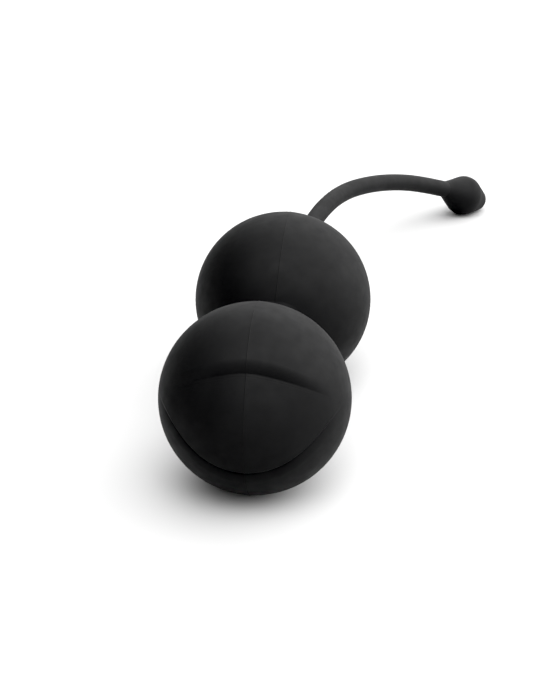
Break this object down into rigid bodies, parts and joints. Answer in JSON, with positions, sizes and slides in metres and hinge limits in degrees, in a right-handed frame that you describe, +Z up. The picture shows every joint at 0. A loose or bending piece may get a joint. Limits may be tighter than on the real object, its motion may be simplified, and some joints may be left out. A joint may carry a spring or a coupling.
{
  "type": "weighted exercise ball pair",
  "caption": "Matte silicone-covered weighted balls in line, joined by a flexible neck, with a thin curved tail ending in a bulb.",
  "frame": {"origin": "on the resting surface, midway between the two balls and below their common axis", "axes": "+Y from the nose of the front ball towards the tail, +Z up, +X to the side that the tail curves to"},
  "size_m": [0.0573, 0.1753, 0.036],
  "materials": {
    "silicone": "matte",
    "core_plastic": "satin",
    "weight_steel": "polished",
    "cord_nylon": "braided",
    "stop_brass": "satin"
  },
  "bodies": {
    "rear_ball": {"rear_ball_skin": "silicone", "rear_core_neck_half": "core_plastic", "rear_core_tail_half": "core_plastic", "rear_neck_cord_stop": "stop_brass", "rear_tail_cord_stop": "stop_brass"},
    "rear_weight": {"rear_weight": "weight_steel"},
    "neck_rear": {"neck_rear_link": "silicone", "neck_rear_cord": "cord_nylon"},
    "neck_front": {"neck_front_link": "silicone", "neck_front_cord": "cord_nylon"},
    "front_ball": {"front_ball_skin": "silicone", "front_core_nose_half": "core_plastic", "front_core_neck_half": "core_plastic", "front_cord_stop": "stop_brass"},
    "front_weight": {"front_weight": "weight_steel"},
    "tail_root": {"tail_root_link": "silicone", "tail_root_cord": "cord_nylon"},
    "tail_near": {"tail_near_strand": "silicone", "tail_near_cord": "cord_nylon"},
    "tail_far": {"tail_far_strand": "silicone", "tail_far_cord": "cord_nylon", "tail_end_bulb": "silicone", "tail_end_bead": "core_plastic"}
  },
  "joints": [
    {"name": "neck_sway", "type": "hinge", "parent": "rear_ball", "child": "neck_rear", "pos_m": [0, 0.0025, 0.018], "axis": [0, 0, 1], "range_deg": [-45, 45], "stiffness_Nm_per_rad": 0.054},
    {"name": "neck_twist", "type": "hinge", "parent": "neck_rear", "child": "neck_front", "pos_m": [0, 0, 0.018], "axis": [0, 1, 0], "range_deg": [-45, 45], "stiffness_Nm_per_rad": 0.036},
    {"name": "neck_nod", "type": "hinge", "parent": "neck_front", "child": "front_ball", "pos_m": [0, -0.0025, 0.018], "axis": [1, 0, 0], "range_deg": [-45, 45], "stiffness_Nm_per_rad": 0.054},
    {"name": "front_weight_roll", "type": "hinge", "parent": "front_ball", "child": "front_weight", "pos_m": [0, -0.024, 0.018], "axis": [1, 0, 0], "continuous": true},
    {"name": "rear_weight_roll", "type": "hinge", "parent": "rear_ball", "child": "rear_weight", "pos_m": [0, 0.024, 0.018], "axis": [1, 0, 0], "continuous": true},
    {"name": "tail_sway", "type": "hinge", "parent": "rear_ball", "child": "tail_root", "pos_m": [0.00017, 0.04398, 0.01823], "axis": [0, 0, 1], "range_deg": [-60, 60], "stiffness_Nm_per_rad": 0.006},
    {"name": "tail_lift", "type": "hinge", "parent": "tail_root", "child": "tail_near", "pos_m": [0.00059, 0.04893, 0.01879], "axis": [1, 0, 0], "range_deg": [-45, 60], "stiffness_Nm_per_rad": 0.006},
    {"name": "tail_curl", "type": "hinge", "parent": "tail_near", "child": "tail_far", "pos_m": [0.00965, 0.0901, 0.01905], "axis": [0.9172, -0.3985, 0], "range_deg": [-60, 60], "stiffness_Nm_per_rad": 0.006}
  ]
}
